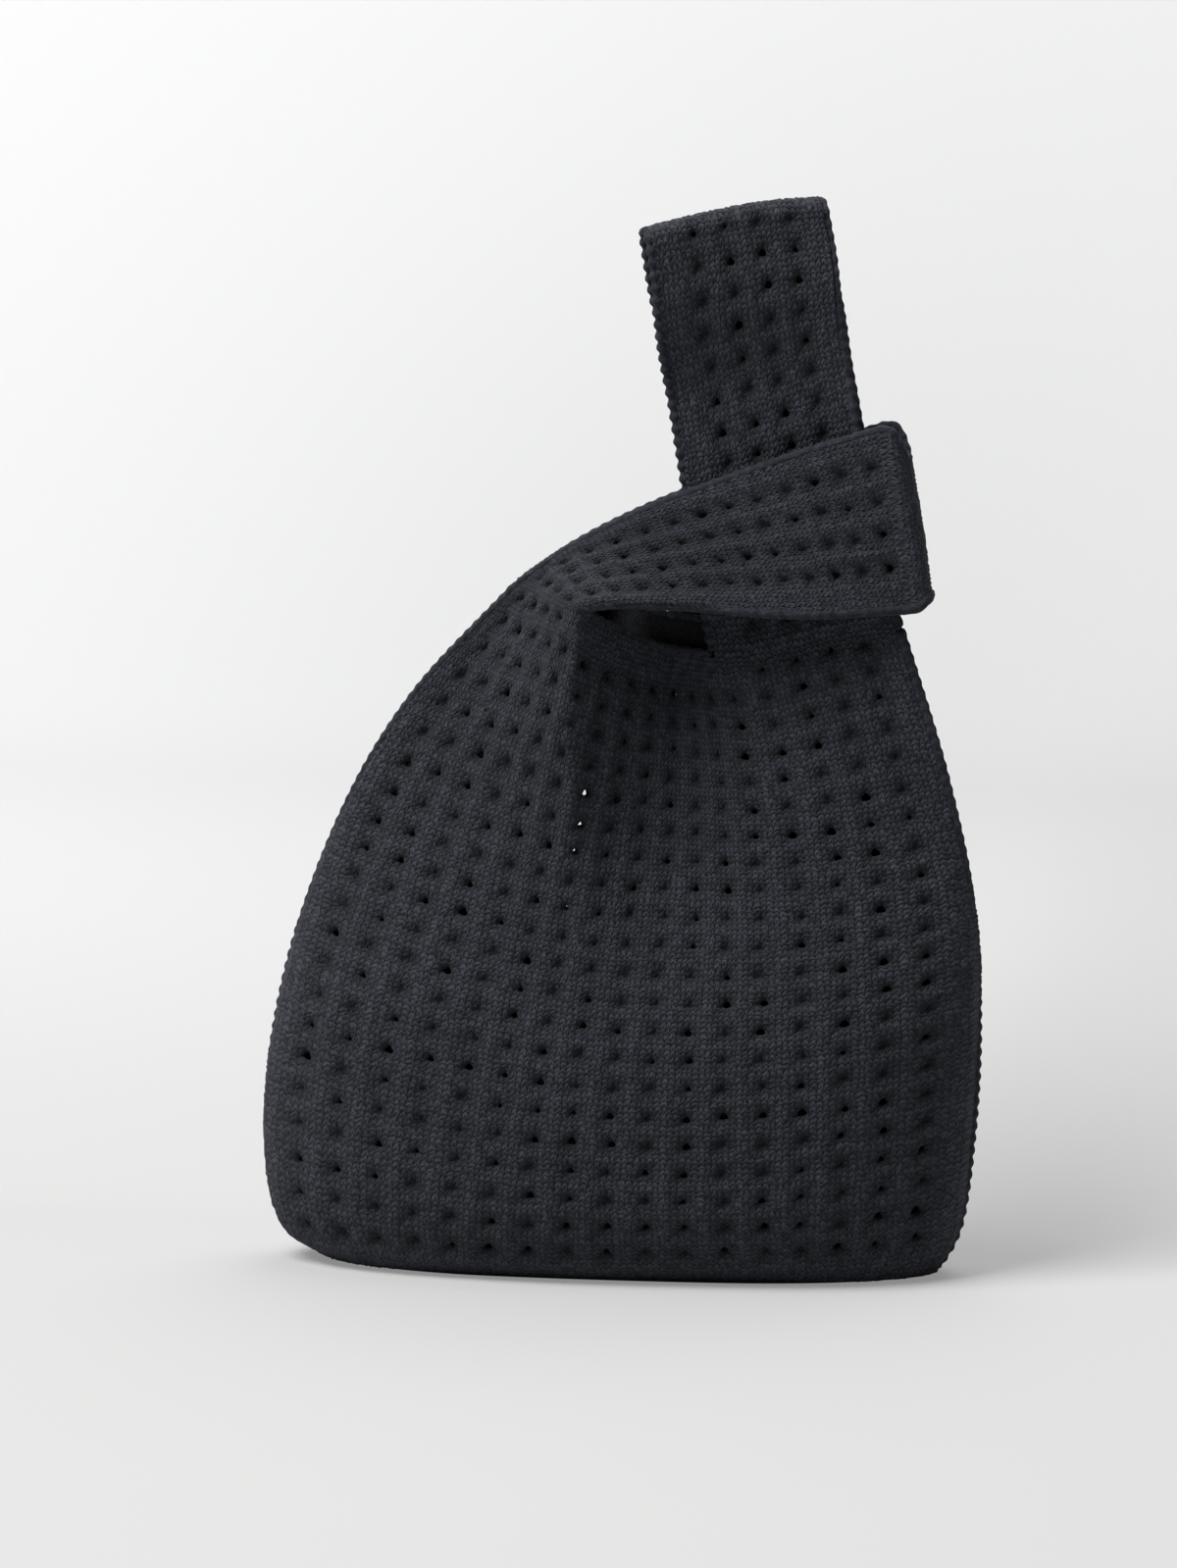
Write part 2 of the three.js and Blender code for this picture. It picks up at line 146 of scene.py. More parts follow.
def smooth(value, low, high):
    t = np.clip((np.asarray(value, float) - low) / (high - low), 0, 1)
    return t * t * (3 - 2 * t)


def mix(a, b, t):
    return a + (b - a) * t


def arch(share):
    """1 in the middle and 0 at both ends."""
    return 4 * share * (1 - share)


def unit(vectors):
    return vectors / np.linalg.norm(vectors, axis=-1, keepdims=True)


def spline(points):
    """Many points on a centripetal Catmull-Rom curve through points."""
    p = np.asarray(points, float)
    ends = np.vstack([2 * p[0] - p[1], p, 2 * p[-1] - p[-2]])
    knots = np.concatenate([[0], np.cumsum(np.linalg.norm(np.diff(ends, axis=0), axis=1) ** 0.5)])
    found = []
    for k in range(1, len(ends) - 2):
        p0, p1, p2, p3 = ends[k - 1:k + 3]
        t0, t1, t2, t3 = knots[k - 1:k + 3]
        t = np.linspace(t1, t2, CURVE_POINTS // (len(p) - 1), endpoint=k == len(ends) - 3)[:, None]
        a1 = mix(p0, p1, (t - t0) / (t1 - t0))
        a2 = mix(p1, p2, (t - t1) / (t2 - t1))
        a3 = mix(p2, p3, (t - t2) / (t3 - t2))
        b1 = mix(a1, a2, (t - t0) / (t2 - t0))
        b2 = mix(a2, a3, (t - t1) / (t3 - t1))
        found.append(mix(b1, b2, (t - t1) / (t2 - t1)))
    return np.vstack(found)


def lengths(points):
    return np.concatenate([[0], np.cumsum(np.linalg.norm(np.diff(points, axis=0), axis=1))])


def at_share(curve, share):
    """Points of a dense curve at shares of its length."""
    far = lengths(curve)
    return np.stack([np.interp(share, far / far[-1], curve[:, k]) for k in range(curve.shape[1])], -1)


def on_handle(across, along, y):
    """A point given across and along the leaning handle."""
    across, along, y = np.broadcast_arrays(across, along, y)
    x = HANDLE_X + across * math.cos(HANDLE_LEAN) - along * math.sin(HANDLE_LEAN)
    z = HANDLE_Z + across * math.sin(HANDLE_LEAN) + along * math.cos(HANDLE_LEAN)
    return np.stack([x, y, z], -1)


# Panels: the front and the back of the bag
LEFT_CURVE = spline([(x * HALF_WIDTH, z * SHOULDER_HEIGHT) for x, z in LEFT_EDGE])
STRAP_FOOT = on_handle(HANDLE_WIDTH + STRAP_FLARE, STRAP_ROOT, 0)
RIGHT_POINTS = [(x * HALF_WIDTH, z * NECK_HEIGHT) for x, z in RIGHT_EDGE]
RIGHT_CURVE = spline(RIGHT_POINTS + [(STRAP_FOOT[0], STRAP_FOOT[2])])
STRAP_NECK_X = float(on_handle(0, STRAP_ROOT, 0)[0])


def belly_depth(share, rise):
    swell = 1 - (1 - np.minimum(rise / BELLY_RISE, 1)) ** 2
    fade = smooth(rise, *FADE_RISE)
    fullness = mix(BASE_HALF_DEPTH, BELLY_HALF_DEPTH, swell) - (BELLY_HALF_DEPTH - NECK_HALF_DEPTH) * fade
    edge = mix(SEAM_EDGE, SLIT_EDGE, smooth(rise, *SLIT_RISE))
    lens = (1 - np.abs(2 * share - 1) ** LENS_POWER).clip(0) ** (1 / LENS_ROOT)
    return edge + (fullness - SEAM_EDGE) * lens


def neck_depth(share, crest, rise):
    left = mix(LOOP_Y, APEX_DEPTH, smooth(share / crest, 0, 1))
    start = crest + HOLLOW_SPAN / 2
    across = np.maximum((share - start) / (1 - start), 0)
    swell = STRAP_SWELL * np.sin(math.pi * across) * (1 - smooth(rise, *SWELL_RISE))
    hollow = smooth(share - crest, 0, HOLLOW_SPAN) ** HOLLOW_POWER
    right = mix(APEX_DEPTH, HANDLE_ROOT_Y, hollow) + swell
    return np.where(share < crest, left, right)


def lip_shape(share, rise):
    fall = np.sqrt(smooth(share, RIDGE_SHARE, RIDGE_SHARE + HOLLOW_SPAN))
    return fall * (1 - smooth(share, STRAP_SHARE, 1)) * smooth(rise, *LIP_RISE)


def on_panel(share, rise, lip_drop=LIP_DROP):
    """Points in the middle of the front panel's cloth, in millimetres."""
    share, rise = np.broadcast_arrays(np.clip(share, 0, 1), np.clip(rise, 0, 1))
    left = at_share(LEFT_CURVE, rise)
    right = at_share(RIGHT_CURVE, rise)
    ridge_x = mix(RIDGE_FOOT_X, APEX_X, rise ** RIDGE_POWER)
    strap_x = mix(STRAP_FOOT_X, STRAP_NECK_X, rise ** STRAP_POWER)
    hang = (ROW_SAG * arch(rise) + NECK_DIP * rise) * arch(share)
    sag = hang + lip_drop * lip_shape(share, rise)
    middle = mix(ridge_x, strap_x, (share - RIDGE_SHARE) / (STRAP_SHARE - RIDGE_SHARE))
    to_left = mix(left[..., 0], ridge_x, share / RIDGE_SHARE)
    to_right = mix(strap_x, right[..., 0], (share - STRAP_SHARE) / (1 - STRAP_SHARE))
    x = np.where(share < RIDGE_SHARE, to_left, np.where(share > STRAP_SHARE, to_right, middle))
    crest = mix(CREST_SHARE, RIDGE_SHARE, rise ** RIDGE_POWER)
    depth = mix(belly_depth(share, rise), neck_depth(share, crest, rise), smooth(rise, *NECK_RISE))
    return np.stack([x, -depth, mix(left[..., 1], right[..., 1], share) - sag], -1)


# Rises of the panel's knitted rows, evenly spaced along the cloth
RISE_STEPS = np.linspace(0, 1, ROW_POINTS)
PANEL_LENGTH = lengths(on_panel(np.full(ROW_POINTS, ROW_SHARE), RISE_STEPS))
PANEL_ROWS = round(PANEL_LENGTH[-1] / ROW_PITCH)


def panel_surface(column, row, lip_drop=LIP_DROP):
    rise = np.interp(row / PANEL_ROWS, PANEL_LENGTH / PANEL_LENGTH[-1], RISE_STEPS)
    return on_panel(column / COLUMNS, rise, lip_drop)


def back_surface(column, row):
    """The back panel, turned to the front."""
    return panel_surface(column, row, BACK_LIP_DROP)


# The short loop: from the left shoulder round the handle and back, one band
LOOP_FRONT_ROWS = 13
LOOP_TURN_ROWS = 2.5
LOOP_ROWS = 2 * LOOP_FRONT_ROWS + LOOP_TURN_ROWS
ROOT_STEP = 0.02
ROOT_POWER = 4
LEAVE_POWER = 6
LOOP_OUTER = spline([
    on_panel(0.0, 1.0),
    on_panel(0.0, 1.0) + np.array(UPPER_BEND),
    on_handle(*UPPER_LEAD, -LOOP_Y),
    on_handle(LOOP_REACH / 2, LOOP_RISE / 2, -LOOP_Y),
    on_handle(LOOP_REACH, LOOP_RISE, -LOOP_Y),
])


def loop_inner(hang):
    """The loop's lower rim; hang is how much lower and further out it lies than in front."""
    return spline([
        on_panel(RIDGE_SHARE, 1.0),
        on_panel(RIDGE_SHARE, 1.0) + np.array(LOWER_BEND) - np.array([0, hang / 3, 0]),
        on_handle(LOWER_LEAD[0], LOWER_LEAD[1] - hang, -LOOP_Y - LOWER_LEAD[2]),
        on_handle(LOOP_REACH / 2, LOWER_MIDDLE[0] - hang / 2, -LOOP_Y - LOWER_MIDDLE[1]),
        on_handle(LOOP_REACH, -LOOP_DROP, -LOOP_Y),
    ])


def loop_front(share, along, inner):
    """The loop's front from the shoulder to its end. It leaves the shoulder in the panel's own plane."""
    share3 = share[..., None]
    along3 = along[..., None]
    point = mix(at_share(LOOP_OUTER, along), at_share(inner, along), share3)
    straight = mix(LOOP_OUTER[0], inner[0], share3)
    root = on_panel(RIDGE_SHARE * share, 1.0)
    start = mix(at_share(LOOP_OUTER, ROOT_STEP), at_share(inner, ROOT_STEP), share3) - straight
    leave = start / ROOT_STEP - ROOT_POWER * (root - straight)
    right = on_panel(RIDGE_SHARE * (share + ROOT_STEP), 1.0)
    left = on_panel(RIDGE_SHARE * (share - ROOT_STEP), 1.0)
    normal = unit(np.cross(right - left, root - on_panel(RIDGE_SHARE * share, 1 - ROOT_STEP)))
    lift = (leave * normal).sum(-1, keepdims=True)
    rooted = (root - straight) * (1 - along3) ** ROOT_POWER
    return point + rooted - normal * lift * along3 * (1 - along3) ** LEAVE_POWER


def blunt(value):
    return np.sign(value) * np.sqrt(np.abs(value))


def half_turn(row, first_row, rows):
    """Angle from -90 to 90 degrees through a band's turned end."""
    return math.pi * (np.clip((row - first_row) / rows, 0, 1) - 0.5)


def join_sides(row, front_rows, rows, front, turn, back):
    """A band from its front, its turned end and its back."""
    side = np.where((row > rows / 2)[..., None], back, front)
    turning = (row > front_rows) & (row < rows - front_rows)
    return np.where(turning[..., None], turn, side)


def loop_surface(column, row):
    share = np.clip(column * CELL_ACROSS / RIDGE_SAMPLE, 0, 1)
    row = np.clip(row, 0, LOOP_ROWS)
    along = np.clip(np.minimum(row, LOOP_ROWS - row) / LOOP_FRONT_ROWS, 0, 1)
    angle = half_turn(row, LOOP_FRONT_ROWS, LOOP_TURN_ROWS)
    upper = LOOP_RISE - LOOP_UPPER_CORNER * np.cos(angle) ** 2
    lower = -LOOP_DROP + LOOP_LOWER_CORNER * np.cos(angle) ** 2
    reach = LOOP_REACH + LOOP_TURN * blunt(np.cos(angle))
    front = loop_front(share, along, loop_inner(0))
    turn = on_handle(reach, mix(upper, lower, share), LOOP_Y * blunt(np.sin(angle)))
    back = loop_front(share, along, loop_inner(BACK_HANG)) * MIRROR
    return join_sides(row, LOOP_FRONT_ROWS, LOOP_ROWS, front, turn, back)


# The long handle: from the front neckline over the top to the back neckline, one band
HANDLE_FRONT_ROWS = 13
HANDLE_TURN_ROWS = 1.5
HANDLE_ROWS = 2 * HANDLE_FRONT_ROWS + HANDLE_TURN_ROWS
FOLD_AT = 0.58
ROOT_BEND = np.array([1, 0.3, 1])
OPENING = (0.1, 0.6)
CLOSING = (0.65, 1)


def fold_line(across):
    return LOOP_TRAVEL + FOLD_ABOVE_LOOP + LOOP_RISE * across / HANDLE_WIDTH


def top_line(across):
    return HANDLE_LENGTH + HANDLE_ARCH * (1 - (2 * across / HANDLE_WIDTH - 1) ** 2)


def handle_front(share, along, lip_drop):
    """The handle's front: along runs from 0 at the neckline by FOLD_AT, where it folds, to 1 at its top."""
    across = share * HANDLE_WIDTH
    place = mix(STRAP_SHARE, 1, share)
    root = on_panel(place, 1.0, lip_drop)
    low = fold_line(across)
    straight = on_handle(across, low, -HANDLE_ROOT_Y) - root
    leave = unit(root - on_panel(place, 1 - ROOT_STEP, lip_drop))
    leave = leave * np.linalg.norm(straight, axis=-1, keepdims=True)
    from_root = np.clip(along / FOLD_AT, 0, 1)[..., None]
    bend = (leave - straight) * ROOT_BEND
    below = root + straight * from_root + bend * from_root * (1 - from_root) ** 2
    up = np.clip((along - FOLD_AT) / (1 - FOLD_AT), 0, 1)
    opened = mix(HANDLE_ROOT_Y, HANDLE_FULL_Y, smooth(up, *OPENING))
    y = mix(opened, HANDLE_END_Y, smooth(up, *CLOSING))
    above = on_handle(across, mix(low, top_line(across), up), -y)
    return np.where((along < FOLD_AT)[..., None], below, above)


def twisted(points):
    """The handle turns about its own middle line, from TWIST_START up to its top."""
    foot = on_handle(HANDLE_WIDTH / 2, 0, 0)
    right = on_handle(HANDLE_WIDTH / 2 + 1, 0, 0) - foot
    up = on_handle(HANDLE_WIDTH / 2, 1, 0) - foot
    across = (points - foot) @ right
    along = (points - foot) @ up
    angle = HANDLE_TWIST * smooth(along, TWIST_START, HANDLE_LENGTH)
    y = points[..., 1]
    turned = across * np.cos(angle) - y * np.sin(angle)
    return on_handle(HANDLE_WIDTH / 2 + turned, along, across * np.sin(angle) + y * np.cos(angle))


def handle_surface(column, row):
    share = np.clip((column * CELL_ACROSS - STRAP_SAMPLE) / (PANEL_SAMPLES - STRAP_SAMPLE), 0, 1)
    row = np.clip(row, 0, HANDLE_ROWS)
    along = np.clip(np.minimum(row, HANDLE_ROWS - row) / HANDLE_FRONT_ROWS, 0, 1)
    angle = half_turn(row, HANDLE_FRONT_ROWS, HANDLE_TURN_ROWS)
    across = share * HANDLE_WIDTH
    front = handle_front(share, along, LIP_DROP)
    turn = on_handle(across, top_line(across) + HANDLE_TURN * np.cos(angle), HANDLE_END_Y * np.sin(angle))
    back = handle_front(share, along, BACK_LIP_DROP) * MIRROR
    return twisted(join_sides(row, HANDLE_FRONT_ROWS, HANDLE_ROWS, front, turn, back))


# Materials
YARN_DARK = (0.0074, 0.0083, 0.0125)
YARN_MIDDLE = (0.0174, 0.0192, 0.027)
YARN_LIGHT = (0.0435, 0.0463, 0.0585)
# The last colour is painted shade, for the yarn in and round the eyelets and on the bag's inside
PAINTED_SHADE_COLOUR = (0.0024, 0.0029, 0.0046)
FUZZ = (0.55, 0.58, 0.64)
MIDDLE_TONE = 0.38
LIGHT_TONE = 0.8
FIBRE_SCALE = 1600
CLOUD_SCALE = 28
SPECK_SCALE = 520
WARP_SCALE = 260
CHAIN_SCALE = 420
FIBRE_DETAIL = 3
NOISE_DETAIL = 2
NOISE_MIDDLE = 0.5
WARP = (1.6, 1.6, 0)
LEG_SLANT = 0.6
LEG_HEIGHT = 0.5
GROOVE_POWER = 4
STITCH_VARIETY = 0.8
CHAIN_RELIEF = 2
TONE_BASE = 0.2
# How much the colour follows the relief's height: painted shade in the low places, painted highlight on the
# high ones
RELIEF_PAINTED_SHADING = 0.48
TONE_CLOUD = 0.3
TONE_SPECKS = 0.7
ROUGHNESS = 0.75
FIBRE_ROUGHNESS = 0.2
BUMP_STRENGTH = 0.7
BUMP_HEIGHT = 0.0008
SPECULAR = 0.25
SHEEN = 0.05
SHEEN_ROUGHNESS = 0.6


class Nodes:
    """A short way to write shader nodes."""

    def __init__(self, name):
        self.material = bpy.data.materials.new(name)
        self.material.use_nodes = True
        self.tree = self.material.node_tree
        self.shader = self.tree.nodes["Principled BSDF"]

    def put(self, kind, **settings):
        node = self.tree.nodes.new(kind)
        for key, value in settings.items():
            setattr(node, key, value)
        return node

    def link(self, source, target):
        self.tree.links.new(source, target)

    def math(self, operation, first, second=None):
        node = self.put("ShaderNodeMath", operation=operation)
        for socket, value in zip(node.inputs, (first, second)):
            if value is None:
                continue
            if isinstance(value, (int, float)):
                socket.default_value = value
            else:
                self.link(value, socket)
        return node.outputs[0]

    def centred(self, value, strength):
        """A noise about zero."""
        return self.math("MULTIPLY", self.math("SUBTRACT", value, NOISE_MIDDLE), strength)

    def noise(self, scale, detail, place):
        node = self.put("ShaderNodeTexNoise")
        node.inputs["Scale"].default_value = scale
        node.inputs["Detail"].default_value = detail
        self.link(place, node.inputs["Vector"])
        return node.outputs

    def blend(self, share, first, second):
        node = self.put("ShaderNodeMix", data_type="RGBA")
        sockets = {socket.identifier: socket for socket in node.inputs}
        self.link(share, sockets["Factor_Float"])
        for key, colour in (("A_Color", first), ("B_Color", second)):
            if isinstance(colour, tuple):
                sockets[key].default_value = (*colour, 1)
            else:
                self.link(colour, sockets[key])
        return next(socket for socket in node.outputs if socket.identifier == "Result_Color")

    def ramp(self, value, stops):
        """A colour ramp. Its two own stops become the first and the last."""
        node = self.put("ShaderNodeValToRGB")
        elements = node.color_ramp.elements
        elements[0].position = stops[0][0]
        elements[1].position = stops[-1][0]
        for position, _ in stops[1:-1]:
            elements.new(position)
        for element, (_, colour) in zip(elements, stops):
            element.color = (*colour, 1)
        self.link(value, node.inputs["Fac"])
        return node.outputs["Color"]


def stitch_relief(n, place):
    """V-shaped stitches, which follow the map that counts wales and courses and are each a little uneven."""
    centred = n.put("ShaderNodeVectorMath", operation="SUBTRACT")
    n.link(n.noise(WARP_SCALE, NOISE_DETAIL, place)["Color"], centred.inputs[0])
    centred.inputs[1].default_value = (NOISE_MIDDLE, NOISE_MIDDLE, NOISE_MIDDLE)
    shifted = n.put("ShaderNodeVectorMath", operation="MULTIPLY_ADD")
    n.link(centred.outputs[0], shifted.inputs[0])
    shifted.inputs[1].default_value = WARP
    n.link(n.put("ShaderNodeUVMap", uv_map="stitches").outputs["UV"], shifted.inputs[2])
    counts = n.put("ShaderNodeSeparateXYZ")
    n.link(shifted.outputs[0], counts.inputs[0])
    inside = n.math("SUBTRACT", n.math("FRACT", counts.outputs["X"]), 0.5)
    edge = n.math("MULTIPLY", n.math("ABSOLUTE", inside), 2)
    slant = n.math("ADD", counts.outputs["Y"], n.math("MULTIPLY", edge, LEG_SLANT))
    legs = n.math("COSINE", n.math("MULTIPLY", slant, 2 * math.pi))
    relief = n.math("SUBTRACT", n.math("MULTIPLY", legs, LEG_HEIGHT), n.math("POWER", edge, GROOVE_POWER))
    stitch = n.put("ShaderNodeCombineXYZ")
    n.link(n.math("FLOOR", counts.outputs["X"]), stitch.inputs["X"])
    n.link(n.math("FLOOR", counts.outputs["Y"]), stitch.inputs["Y"])
    variety = n.put("ShaderNodeTexWhiteNoise", noise_dimensions="2D")
    n.link(stitch.outputs[0], variety.inputs["Vector"])
    return n.math("ADD", relief, n.math("MULTIPLY", variety.outputs["Value"], STITCH_VARIETY))


def knit_material(name, stitches):
    """Charcoal melange yarn, knitted in stitches or chained."""
    n = Nodes(name)
    place = n.put("ShaderNodeTexCoord").outputs["Object"]
    fibres = n.noise(FIBRE_SCALE, FIBRE_DETAIL, place)["Fac"]
    cloud = n.noise(CLOUD_SCALE, NOISE_DETAIL, place)["Fac"]
    specks = n.noise(SPECK_SCALE, NOISE_DETAIL, place)["Fac"]
    if stitches:
        relief = stitch_relief(n, place)
    else:
        relief = n.centred(n.noise(CHAIN_SCALE, NOISE_DETAIL, place)["Fac"], CHAIN_RELIEF)
    height = n.math("ADD", relief, fibres)
    # Colour follows the relief's height: painted shade in the stitch grooves and low places, painted
    # highlight on the raised ones; the fibre noise and each stitch's variety in it, and the cloud and specks,
    # are random tone
    tone = n.math("MULTIPLY", n.math("SUBTRACT", height, TONE_BASE), RELIEF_PAINTED_SHADING)
    tone = n.math("ADD", tone, n.math("MULTIPLY", cloud, TONE_CLOUD))
    tone = n.math("ADD", tone, n.centred(specks, TONE_SPECKS))
    colour = n.ramp(tone, [(0.0, YARN_DARK), (MIDDLE_TONE, YARN_MIDDLE), (LIGHT_TONE, YARN_LIGHT)])
    # Painted shade: the yarn is blended towards a near-black colour in and round the eyelets and over the
    # inner skin
    if stitches:
        painted_shade = n.put("ShaderNodeAttribute", attribute_name="painted_shade").outputs["Fac"]
        colour = n.blend(painted_shade, colour, PAINTED_SHADE_COLOUR)
    n.link(colour, n.shader.inputs["Base Color"])
    roughness = n.math("ADD", n.math("MULTIPLY", fibres, FIBRE_ROUGHNESS), ROUGHNESS)
    n.link(roughness, n.shader.inputs["Roughness"])
    bump = n.put("ShaderNodeBump")
    bump.inputs["Strength"].default_value = BUMP_STRENGTH
    bump.inputs["Distance"].default_value = BUMP_HEIGHT
    n.link(height, bump.inputs["Height"])
    n.link(bump.outputs["Normal"], n.shader.inputs["Normal"])
    n.shader.inputs["Specular IOR Level"].default_value = SPECULAR
    n.shader.inputs["Sheen Weight"].default_value = SHEEN
    n.shader.inputs["Sheen Roughness"].default_value = SHEEN_ROUGHNESS
    n.shader.inputs["Sheen Tint"].default_value = (*FUZZ, 1)
    return n.material


EYELET_KNIT = knit_material("eyelet_knit", True)
CHAIN_YARN = knit_material("chain_yarn", False)


def add_mesh(name, points, faces, material):
    """A new object; points are in millimetres."""
    mesh = bpy.data.meshes.new(name)
    mesh.from_pydata((points * MM).tolist(), [], faces)
    mesh.shade_smooth()
    mesh.materials.append(material)
    made = bpy.data.objects.new(name, mesh)
    bpy.context.scene.collection.objects.link(made)
    return made


# Eyelet knit: heights in millimetres; rings and reaches in half sizes of an eyelet, shifts and rows in cells
HALF_CLOTH = 1.25
RIB_HEIGHT = 0.1
STITCH_HEIGHT = 0.06
PEBBLE_HEIGHT = 0.2
SWELL_HEIGHT = 0.35
SWELL_ACROSS = 0.9
SWELL_WANDER = 1.2
SWELL_WANDER_UP = 0.37
SWELL_UP = 0.63
SWELL_SLANT = 0.41
DIMPLE_DEPTH = 1.7
DIMPLE_REACH = 2.0
# How far and how steeply shade is painted round an eyelet, and how dark it gets
PAINTED_SHADE_REACH = 2.0
PAINTED_SHADE_POWER = 3
EYELET_PAINTED_SHADE = 0.86
# Painted shade over the whole inner skin, so the inside of the bag looks dark
INSIDE_PAINTED_SHADE = 1.0
HOLE_SAMPLES = 2
EYELET_HALF = np.array([HOLE_SAMPLES / CELL_ACROSS, HOLE_SAMPLES / CELL_UP])
EYELET_SIZE = 0.5
EYELET_TAPER = 0.45
EYELET_VARIETY = 0.4
EYELET_WANDER = 0.3
PULL_RING = 2.4
PULL_SPAN = 1.4
RIM_RING = 1.9
RIM_SPAN = 0.9
RIM_ROUNDING = 0.95
EYELET_SHIFT = (-0.5, 0.0)
BACK_SHIFT = (-0.6, 0.0)
HANDLE_SHIFT = (-0.5, -0.5)
# Eyelets at or under these limits stay closed: their faces stay, and a dimple and painted shade make them
# look like dark holes
CLOSED_LIMIT = 0.2
BACK_CLOSED_LIMIT = -0.7
JOIN_ROWS = 0.6
NORMAL_STEP = 0.05

# Each use of chance has a seed of its own
SIZE_SEED = 0
ACROSS_SEED = 1
UP_SEED = 2
PEBBLE_SEED = 3
OPEN_SEED = 4
HASH_COLUMN = 12.9898
HASH_ROW = 78.233
HASH_SCALE = 43758.5453


def chance(column, row, seed):
    """A fixed random value from -1 to 1 for each cell."""
    wave = np.sin(np.floor(column) * HASH_COLUMN + np.floor(row) * HASH_ROW + seed) * HASH_SCALE
    return 2 * (wave - np.floor(wave)) - 1


def from_middle(cell):
    """Place in a cell, from -0.5 to 0.5."""
    return cell - np.floor(cell) - 0.5


def pulled(square, ring, eyelet, cell_column, cell_row):
    """How far samples move, in cells, so that the grid's square holes become small rounded eyelets."""
    angle = np.arctan2(square[..., 1], square[..., 0])
    rounded = np.stack([np.cos(angle), np.sin(angle)], -1) * ring[..., None]
    near = np.where(eyelet, np.clip((PULL_RING - ring) / PULL_SPAN, 0, 1), 0)[..., None]
    bent = mix(square, rounded, near)
    bent[..., 0] *= 1 - EYELET_TAPER * near[..., 0] * bent[..., 1].clip(-1, 1)
    size = EYELET_SIZE * (1 + EYELET_VARIETY * chance(cell_column, cell_row, SIZE_SEED))
    bent *= 1 - (1 - size[..., None]) * near
    wander = [chance(cell_column, cell_row, seed) for seed in (ACROSS_SEED, UP_SEED)]
    return (bent - square + EYELET_WANDER * np.stack(wander, -1) * near) * EYELET_HALF


def cloth_normal(surface, column, row):
    across = surface(column + NORMAL_STEP, row) - surface(column - NORMAL_STEP, row)
    upward = surface(column, row + NORMAL_STEP) - surface(column, row - NORMAL_STEP)
    return unit(np.cross(across, upward))


def slow_swell(column, row):
    """Slow unevenness of the cloth."""
    first = np.sin(SWELL_ACROSS * column + SWELL_WANDER * np.sin(SWELL_WANDER_UP * row))
    return SWELL_HEIGHT * (first + np.sin(SWELL_UP * row + SWELL_SLANT * column))


def kept_faces(cell_column, cell_row, has_eyelet, closed_limit):
    """Which faces of the grid stay: all but those in the holes of open eyelets."""
    face_column = cell_column[:-1, :-1] + 0.5 / CELL_ACROSS
    face_row = cell_row[:-1, :-1] + 0.5 / CELL_UP
    hole = np.abs(from_middle(face_column)) < EYELET_HALF[0]
    hole &= np.abs(from_middle(face_row)) < EYELET_HALF[1]
    opened = chance(face_column, face_row, OPEN_SEED) > closed_limit
    return ~(hole & opened & has_eyelet(np.floor(face_column), np.floor(face_row)))


def sheet_faces(kept, first_joined, last_joined):
    """Faces of a sheet with two skins, with walls round holes and along edges that aren't joined."""
    shape = (kept.shape[0] + 1, kept.shape[1] + 1)
    count = shape[0] * shape[1]
    number = np.arange(count).reshape(shape)
    low_left = number[:-1, :-1]
    low_right = number[:-1, 1:]
    high_left = number[1:, :-1]
    high_right = number[1:, 1:]
    outer = np.stack([low_left, low_right, high_right, high_left], -1)[kept]
    inner = np.stack([high_left, high_right, low_right, low_left], -1)[kept] + count
    padded = np.pad(kept, 1)
    padded[0, 1:-1] = first_joined
    padded[-1, 1:-1] = last_joined
    sides = (
        (padded[:-2, 1:-1], low_right, low_left), (padded[2:, 1:-1], high_left, high_right),
        (padded[1:-1, :-2], low_left, high_left), (padded[1:-1, 2:], high_right, low_right),
    )
    walls = []
    for beyond, starts, ends in sides:
        open_edge = kept & ~beyond
        start = starts[open_edge]
        end = ends[open_edge]
        walls.append(np.stack([start, end, end + count, start + count], -1))
    return np.vstack([outer, inner, *walls])


def add_maps(made, stitches, painted_shade):
    """The map that counts stitches, and how much painted shade each point gets in and round the eyelets and
    inside.
    """
    mesh = made.data
    corners = np.zeros(len(mesh.loops), int)
    mesh.loops.foreach_get("vertex_index", corners)
    layer = mesh.uv_layers.new(name="stitches")
    layer.data.foreach_set("uv", stitches[corners].astype(np.float32).ravel())
    painted_shades = mesh.attributes.new("painted_shade", "FLOAT", "POINT")
    painted_shades.data.foreach_set("value", painted_shade.astype(np.float32))


